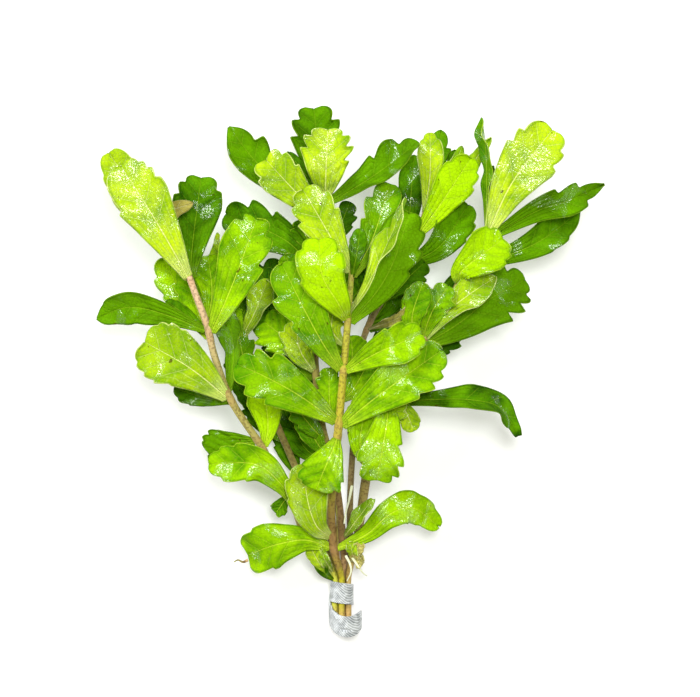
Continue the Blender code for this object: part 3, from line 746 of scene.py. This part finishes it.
class Blade:
    """The curved surface of one leaf."""

    def __init__(self, spec, chance, own=None):
        centre, run = stem_at(spec.stem, spec.row)
        towards = at_place(*spec.path[0]) - centre
        outward = (towards - run * towards.dot(run)).normalized()
        start = centre + outward * stem_radius(spec.stem, spec.row) * SUNK_SHARE
        self.line = SmoothLine([start, *(at_place(*spot) for spot in spec.path)])
        self.half_width = spec.width * MM / 2
        self.roll = [math.radians(angle) for angle in spec.roll]
        self.fold = math.radians(spec.fold)
        self.bend = math.radians(spec.cup) / self.half_width
        self.edges = [uneven(EDGES[spec.outline], chance) for side in range(2)]
        self.point_power = TIP_POWER
        if own:
            self.edges = [Edge(own.left, own.depth), Edge(own.right, own.depth)]
            self.point_power = own.point
        self.waves = [chance.uniform(0, math.tau) for side in range(2)]

    def veins(self, along, distance):
        """Counts side veins: a whole number on each vein."""
        return (along - VEIN_SLANT * distance / self.line.length) * VEIN_PAIRS

    def relief(self, along, across, distance, side):
        """How far the surface stands off the smooth blade."""
        spread = ease(along, 0.25, 0.5)
        wave = math.sin(math.tau * 1.7 * along + self.waves[side])
        wave += 0.35 * math.sin(math.tau * 4.3 * along + 2 * self.waves[side])
        wave *= across**2
        quilt = abs(math.sin(math.pi * self.veins(along, distance)))
        quilt *= ease(abs(across), 0.05, 0.35) * (1 - 0.6 * across**2)
        return spread * (WAVE * wave + QUILT * quilt) - QUILT * (1 - ease(abs(across), 0, 0.2))

    def point(self, along, across):
        """The point at two shares, its distance from the midrib and its count of side veins."""
        side = int(across > 0)
        width = envelope(along, self.point_power) * tooth(along, self.edges[side])
        distance = abs(across) * width * self.half_width
        share = along + distance * VEIN_SWEEP / self.line.length
        spot, direction = self.line.at(share)
        right = direction.cross(UP).normalized()
        upward = right.cross(direction)
        roll = self.roll[0] + (self.roll[1] - self.roll[0]) * min(share, 1)
        beside = right * math.cos(roll) + upward * math.sin(roll)
        face = upward * math.cos(roll) - right * math.sin(roll)
        out, lift = half_blade(distance, self.fold, self.bend)
        lift += self.relief(along, across, distance, side)
        spot = spot + beside * math.copysign(out, across) + face * lift
        return spot, distance, self.veins(along, distance)


test_blade = Blade(LEAVES["front_upper_left"], random.Random(1))
print("one blade is", round(test_blade.line.length / MM, 1), "mm long")

# %% [markdown]
# ## The finish of a leaf
#
# A fresh leaf of this plant is bright and wet. Its midrib and side veins are paler than the blade,
# a fine net of tiny veins fills what lies between, the rim is a thin pale line, and water makes
# some patches shine and leaves others dull. The mesh carries what the finish needs at each vertex:
# how far it is along the leaf, how far from the midrib in millimetres, how near the margin, and a
# count that is a whole number on each side vein. Lines made from such numbers follow the blade
# however it bends, which a flat image could not do.

# %% Colours from hex codes
def hue(code):
    """A colour as written in a paint program, turned into light values."""
    parts = [int(code[i:i + 2], 16) / 255 for i in (0, 2, 4)]
    light = [part / 12.92 if part < 0.04045 else ((part + 0.055) / 1.055) ** 2.4 for part in parts]
    return (*light, 1)


print("leaf green is", [round(value, 2) for value in hue("82be0a")])

# %% Leaf finish
MIDRIB_HALF = 0.3
NET_SCALE = 800
WET_SCALE = 85
LONG_VEINS = 3


def leaf_paint(name, deep, plain, bright, vein, veins_show, dry):
    """A leaf from its colours: deep, which also paints shade at the margin and on darker leaves, plain
    all over, bright, which also paints light on the swellings between the veins and on lighter leaves,
    and the veins' colour.

    Water lies where a noise is above the last number.
    """
    paint = Paint(name, {"Specular IOR Level": 0.03, "Roughness": 0.6})
    along, edge = paint.attribute("along"), paint.attribute("edge")
    out, tint = paint.attribute("out"), paint.attribute("tint")
    count = paint.attribute("veins")

    midrib = 1 - (abs(out) / (MIDRIB_HALF * (1.25 - along))).between(0.6, 1.25)
    beside_vein = abs(count - count.function("ROUND"))
    side_vein = (1 - beside_vein.between(0.01, 0.05)) * (1 - edge.between(0.6, 1))
    side_vein = side_vein * along.between(0.3, 0.45) * 0.8
    lanes = edge * LONG_VEINS
    beside_lane = abs(lanes - lanes.function("ROUND"))
    near_stalk = 1 - along.between(0.4, 0.72)
    long_vein = (1 - beside_lane.between(0.04, 0.14)) * near_stalk * edge.between(0.1, 0.3)
    pillow = beside_lane.between(0.04, 0.5) * near_stalk
    vein_lines = side_vein.function("MAXIMUM", long_vein * 0.55)
    net = 1 - paint.cells(NET_SCALE).between(0.0, 0.1)
    rim = edge.between(0.95, 0.985)
    stalk = 1 - along.between(0.04, 0.3)

    cloud = paint.noise(80, 4, 0.5).between(0.34, 0.66)
    grain = paint.noise(1100, 3).between(0.3, 0.7)
    swell = beside_vein.between(0.03, 0.5)
    colour = paint.blend(hue(deep), hue(plain), cloud * 0.65 + grain * 0.35)
    # Painted light: the swellings between the side veins and between the long veins are made lighter,
    # besides a cloudy tone
    colour = paint.blend(colour, hue(bright), cloud * 0.35 + swell * 0.2 + pillow * 0.12)
    # Partly painted light and shade, partly the leaf's own tone: each leaf as a whole is made lighter
    # towards bright or darker towards deep
    colour = paint.blend(colour, hue(bright), tint.between(0, 1) * 0.7)
    colour = paint.blend(colour, hue(deep), (0 - tint).between(0, 1) * 0.7)
    # Painted shade: each blade darkens towards its margin
    colour = paint.blend(colour, hue(deep), edge.between(0.82, 0.97) * 0.6)
    lines = midrib.function("MAXIMUM", vein_lines * 0.55).function("MAXIMUM", net * 0.14)
    lines = lines.function("MAXIMUM", rim * 0.7).function("MAXIMUM", stalk * 0.6)
    colour = paint.blend(colour, hue(vein), lines * veins_show)
    colour = paint.blend(colour, hue("4a3c0c"), paint.noise(380, 1, 0.3).between(0.76, 0.79) * 0.8)

    wet = paint.noise(WET_SCALE, 5, 1.2).between(dry, dry + 0.06)
    height = swell * 0.4 + pillow * 0.4 + grain * 0.2 - net * 0.3
    height = height - midrib * 0.4 - vein_lines * 0.5
    paint.wet_film(wet, {"Specular IOR Level": 1, "Roughness": 0.19})
    paint.surface(Base_Color=colour, Normal=paint.relief(height, 0.4 * MM))
    return paint.material


# The pale, mid and dark finishes are partly the leaves' own tones and partly painted light and shade:
# pale paints leaves that face the light, dark paints leaves in the shade deep in the bunch. Tan is a
# yellowed leaf.
leaf_finishes = {
    "pale": leaf_paint("pale_leaf", "649400", "9ec800", "cce41c", "f2f89c", 0.66, 0.5),
    "mid": leaf_paint("mid_leaf", "347600", "76b400", "aedc00", "d8ee44", 0.5, 0.53),
    "dark": leaf_paint("dark_leaf", "103a00", "3a7a00", "70a800", "9cc424", 0.44, 0.58),
    "tan": leaf_paint("tan_leaf", "8a8234", "b8ae52", "d6cf78", "e8e2a8", 0.7, 0.55),
}
underside = leaf_paint("leaf_underside", "5c9410", "84b828", "a4cc38", "c4e060", 0.7, 0.6)
print("leaf finishes:", ", ".join(leaf_finishes))

# %% [markdown]
# ## Making the leaves
#
# Each leaf is a fine grid whose corners are moved onto the blade surface, and a Solidify modifier
# gives it the thickness of a real leaf. The modifier can hand the lower side a second material,
# so the underside gets its own paler finish. Each leaf of the first list takes the place of one
# plain leaf of the frame.

# %% Putting pieces on the frame
ACROSS, ALONG = 22, 64
LEAF_THICKNESS = 0.36 * MM
# Leaves without a line of their own get a random lightness, mostly painted shade, because most of them
# lie behind others
SHADED_TINTS = (-1, 0.2)


def add_piece(name, mesh, materials, node=None):
    """A new piece of the bunch. It hides the plain node that it stands for."""
    for material in materials:
        mesh.materials.append(material)
    piece = bpy.data.objects.new(name, mesh)
    bpy.context.scene.collection.objects.link(piece)
    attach(piece, "root")
    if node:
        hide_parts(node)
    return piece


def to_mesh(name, shape):
    """A smooth-shaded mesh from a finished bmesh."""
    for face in shape.faces:
        face.smooth = True
    mesh = bpy.data.meshes.new(name)
    shape.to_mesh(mesh)
    shape.free()
    return mesh


# %% Leaves
def make_leaf(name, spec, node=None, cells=(ACROSS, ALONG), own=None):
    """A leaf with teeth, waves and veins."""
    chance = random.Random(name)
    blade = Blade(spec, chance, own)
    tint = own.tint if own else chance.uniform(*SHADED_TINTS)
    sheet = bmesh.new()
    bmesh.ops.create_grid(sheet, x_segments=cells[0], y_segments=cells[1], size=1)
    marks = {mark: sheet.verts.layers.float.new(mark) for mark in
             ("along", "edge", "out", "veins", "tint")}
    for vertex in sheet.verts:
        across, along = vertex.co.x, (vertex.co.y + 1) / 2
        vertex.co, distance, count = blade.point(along, across)
        vertex.co.z = max(vertex.co.z, LEAF_THICKNESS)
        vertex[marks["along"]] = along
        vertex[marks["edge"]] = abs(across)
        vertex[marks["out"]] = math.copysign(distance / MM, across)
        vertex[marks["veins"]] = count
        vertex[marks["tint"]] = tint
    materials = (leaf_finishes[spec.tone], underside)
    piece = add_piece(name, to_mesh(name, sheet), materials, node)
    body = piece.modifiers.new("Thickness", "SOLIDIFY")
    body.thickness = LEAF_THICKNESS
    body.offset = 0
    body.material_offset = 1
    return piece


for key, spec in LEAVES.items():
    make_leaf(f"blade_{key}", spec, f"leaf_{key}", own=OWN.get(key))
for number, spec in enumerate(SMALL_LEAVES):
    make_leaf(f"small_blade_{spec.stem}_{number}", spec, cells=(14, 28))
for number, spec in enumerate(EXTRA_LEAVES):
    make_leaf(f"extra_blade_{spec.stem}_{number}", spec, cells=(14, 28))
print("leaves made:", len(LEAVES) + len(SMALL_LEAVES) + len(EXTRA_LEAVES))

# %% [markdown]
# ## The stems
#
# A cutting of this plant has a slightly ribbed stem with a fine brown fuzz, a swelling where each
# pair of leaves grows, and a clean cut at its foot. It is green and tender near the tip and brown
# near the cut. A curve with a round bevel could not swell at chosen places, so the stem is a grid
# rolled into a tube, whose radius is a function of the place along it and the angle round it.

# %% Tubes
def make_tube(name, line, radius, sides, rings):
    """A closed tube along a line in the view's places. Radius is a function of share and angle."""
    tube = bmesh.new()
    bmesh.ops.create_grid(tube, x_segments=sides, y_segments=rings, size=1)
    marks = {mark: tube.verts.layers.float.new(mark) for mark in ("along", "swell", "core")}
    for vertex in tube.verts:
        angle = math.pi * vertex.co.x
        step = round((vertex.co.y + 1) / 2 * rings)
        share = min(max((step - 1) / (rings - 3), 0), 1)
        spot, _ = line.at(share)
        ahead, _ = line.at(min(share + 0.004, 1))
        behind, _ = line.at(max(share - 0.004, 0))
        direction = (at_place(*ahead) - at_place(*behind)).normalized()
        right = direction.cross(UP).normalized()
        above = right.cross(direction)
        width, swell = radius(share, angle)
        if step == 0 or step == rings:
            width *= 0.08
        if step == rings - 1:
            width *= 0.7
        vertex.co = at_place(*spot) + (right * math.cos(angle) + above * math.sin(angle)) * width
        vertex[marks["along"]] = share
        vertex[marks["swell"]] = swell
        vertex[marks["core"]] = 1 if step == 0 else 0
    bmesh.ops.remove_doubles(tube, verts=tube.verts, dist=0.004 * MM)
    open_edges = [edge for edge in tube.edges if edge.is_boundary]
    bmesh.ops.holes_fill(tube, edges=open_edges, sides=0)
    bmesh.ops.recalc_face_normals(tube, faces=tube.faces)
    return to_mesh(name, tube)


# %% Stem finish
CUT_SHARE = 0.05
STEM_COLOURS = {
    "front": ("b4ac18", "8a6c3a", "b4aa30", "acb03c"),
    "left": ("c8cc44", "948440", "a49a52", "dab898"),
    "left_back": ("c0c83c", "8c8438", "84783c", "7c8c34"),
    "middle": ("c4a070", "866c40", "8a7e3c", "9a9c3c"),
    "right": ("b89c58", "94804a", "8e8440", "a0a040"),
    "right_back": ("8c7c48", "7a6a40", "8a7a50", "a88c60"),
}


def stem_paint(name, foot, low, high, tip):
    """A fuzzy stem from its colours: in the tie, above it, halfway up and at the tip."""
    paint = Paint(name, {"Specular IOR Level": 0.35})
    along, swell, core = (paint.attribute(mark) for mark in ("along", "swell", "core"))
    grain = paint.noise(260, 4, 0.3)
    fuzz = paint.noise(1100, 3).between(0.53, 0.6)
    height = along + (grain - 0.5) * 0.1
    colour = paint.blend(hue(foot), hue(low), height.between(0.1, 0.2))
    colour = paint.blend(colour, hue(high), height.between(0.25, 0.45))
    colour = paint.blend(colour, hue(tip), height.between(0.65, 1.0))
    colour = paint.blend(colour, hue("5c3c1c"), fuzz * (0.6 - along * 0.2) * height.between(0.08, 0.16))
    colour = paint.blend(colour, hue("b58a5c"), swell * 0.35)
    cut = 1 - along.between(0.0, CUT_SHARE)
    colour = paint.blend(colour, hue("cda566"), cut * (0.5 + grain * 0.5))
    colour = paint.blend(colour, hue("efe6c0"), core)
    paint.surface(
        Base_Color=colour,
        Roughness=0.62 - grain * 0.2,
        Normal=paint.relief(fuzz * 0.5 + grain, 0.25 * MM),
    )
    return paint.material


stem_finishes = {name: stem_paint(f"{name}_stem", *STEM_COLOURS[name]) for name in STEMS}
print("stem finishes:", len(stem_finishes))

# %% Stems
STEM_SIDES, STEM_RINGS = 20, 170
RIBS = 5
RIB_DEPTH = 0.035
JOINT_SWELLING = 0.1


def stem_shape(name):
    """The radius function of one stem, swollen where its leaves grow."""
    line = stem_line(name)
    rows = [spec.row for spec in (*LEAVES.values(), *SMALL_LEAVES) if spec.stem == name]

    def radius(share, angle):
        spot, _ = line.at(share)
        near = max(math.exp(-((spot.y - row) / 3.5) ** 2) for row in rows)
        ribs = RIB_DEPTH * math.cos(RIBS * angle + 9 * share)
        return stem_radius(name, spot.y) * (1 - RIB_DEPTH + ribs + JOINT_SWELLING * near), near

    return line, radius


for name in STEMS:
    line, radius = stem_shape(name)
    mesh = make_tube(f"ribbed_stem_{name}", line, radius, STEM_SIDES, STEM_RINGS)
    add_piece(f"ribbed_stem_{name}", mesh, (stem_finishes[name],), f"stem_{name}")
print("stems made:", len(STEMS))

# %% [markdown]
# ## Roots
#
# A few thin white roots have sprouted low on the stems, an old brown one runs up between them, and
# one dry tendril curls past a leaf. They are the same kind of tube as the stems, only far thinner.

# %% Roots and tendril
root_paint = Paint("white_root", {"Specular IOR Level": 0.4})
root_cloud = root_paint.noise(300, 2)
root_paint.surface(
    Base_Color=root_paint.blend(hue("d9dcae"), hue("f4f6e4"), root_cloud),
    Roughness=0.6 - root_cloud * 0.2,
)
ROOT_RADIUS = 0.5 * MM
ROOTS = {
    "root_upper": ((352, 486, 12), (349, 500, 15), (346, 512, 19), (344, 524, 19)),
    "root_lower": ((346, 556, 12), (350, 564, 14), (351, 572, 13), (347, 581, 10)),
    "root_side": ((352, 557, 12), (358, 566, 13), (363, 573, 11), (367, 576, 8)),
    "old_root": ((339, 564, 10), (338, 546, 12), (337, 528, 14), (336.5, 505, 16)),
    "tendril": ((248, 560, 13), (243, 562, 13), (238, 560, 13), (234, 562, 13)),
}

for name, spots in ROOTS.items():
    root_line = SmoothLine([Vector(spot) for spot in spots])
    mesh = make_tube(name, root_line, lambda share, angle: (ROOT_RADIUS * (1.1 - 0.7 * share), 0), 8, 40)
    finish = root_paint.material
    if name in ("tendril", "old_root"):
        finish = stem_finishes["middle"]
    add_piece(name, mesh, (finish,))
print("roots made:", len(ROOTS))

# %% [markdown]
# ## The strip
#
# Shops hold water plants down with a strip of soft grey metal, wound about one and a half turns
# round the cut ends and pressed shut by hand. It is thin and takes every dent. The plain strip
# gives the coil. Here the same coil is cut into hundreds of small cells, so that it can be
# crumpled a little by noise, and its rolled surface gets a fine slanting texture.

# %% The coil
STRIP_WIDTH = 7.6 * MM
STRIP_THICKNESS = 0.7 * MM
STRIP_HEIGHT = TIED_HEIGHT * MM
STRIP_START, STRIP_END = -60, 465
STRIP_CORNER, STRIP_FALL = 395, 0.5
STRIP_LOOSENS, STRIP_IS_LOOSE = 120, 270
STRIP_RADII = (4.75 * MM, 6.3 * MM)
STRIP_COLUMNS = (341, 345.5)
STRIP_ROW = 592
STRIP_ROWS_A_TURN = 10
STRIP_LOOSE_ROWS, STRIP_TILT_ROWS = 10, 13
STRIP_CELLS = (260, 36)
DENT = 0.28 * MM
CREASE_AT = 358


def strip_point(degrees, along_stems):
    """A point on the strip's outer face. The face is flat where it lies on the table."""
    angle = math.radians(degrees)
    loose = (degrees - STRIP_LOOSENS) / (STRIP_IS_LOOSE - STRIP_LOOSENS)
    loose = min(max(loose, 0), 1)
    radius = STRIP_RADII[0] + (STRIP_RADII[1] - STRIP_RADII[0]) * loose
    column = STRIP_COLUMNS[0] + (STRIP_COLUMNS[1] - STRIP_COLUMNS[0]) * loose
    row = STRIP_ROW + STRIP_ROWS_A_TURN * angle / math.tau
    row += loose * (STRIP_LOOSE_ROWS + STRIP_TILT_ROWS * math.cos(angle))
    centre = at_place(column, row, STRIP_HEIGHT / MM)
    bump = noise.noise((degrees / 16, along_stems * 1.6, 3))
    bump += 0.5 * noise.noise((degrees / 6, along_stems * 3, 7))
    crease = math.exp(-((degrees - CREASE_AT) / 17) ** 2 - ((along_stems + 0.35) / 0.12) ** 2)
    radius -= DENT * (0.5 + 0.5 * bump + 2.6 * crease)
    height = max(STRIP_HEIGHT + radius * math.cos(angle), 0)
    corner = max(degrees - STRIP_CORNER, 0) / (STRIP_END - STRIP_CORNER)
    fall = STRIP_FALL * corner**2
    y = centre.y + (along_stems * (1 - fall) - fall) * STRIP_WIDTH / 2
    return Vector((centre.x + radius * math.sin(angle), y, height))


def strip_paint():
    """Dull rolled metal with a slanting grain."""
    paint = Paint("dull_soft_metal", {"Metallic": 0.0, "Specular IOR Level": 0.6})
    where = paint.node("ShaderNodeTexCoord", output="Object")
    settings = {"bands_direction": "DIAGONAL"}
    values = {"Vector": where, "Scale": 640, "Distortion": 1}
    weave = paint.node("ShaderNodeTexWave", settings, values)
    cloud = paint.noise(420, 5, 0.4).between(0.3, 0.7)
    colour = paint.blend(hue("666c72"), hue("e6eaf2"), cloud * 0.45 + weave * 0.5)
    paint.surface(
        Base_Color=colour,
        Metallic=0.1 + cloud * 0.2,
        Roughness=0.34 + weave * 0.2,
        Normal=paint.relief(weave * 0.5 + cloud, 0.2 * MM),
    )
    return paint.material


coil = bmesh.new()
bmesh.ops.create_grid(coil, x_segments=STRIP_CELLS[0], y_segments=STRIP_CELLS[1], size=1)
for vertex in coil.verts:
    degrees = STRIP_START + (STRIP_END - STRIP_START) * (vertex.co.x + 1) / 2
    vertex.co = strip_point(degrees, vertex.co.y)
strip = add_piece("soft_metal_strip", to_mesh("soft_metal_strip", coil), (strip_paint(),),
                  "weight_strip")
strip_body = strip.modifiers.new("Thickness", "SOLIDIFY")
strip_body.thickness = STRIP_THICKNESS
strip_body.offset = -1
print("strip cells:", STRIP_CELLS[0] * STRIP_CELLS[1])
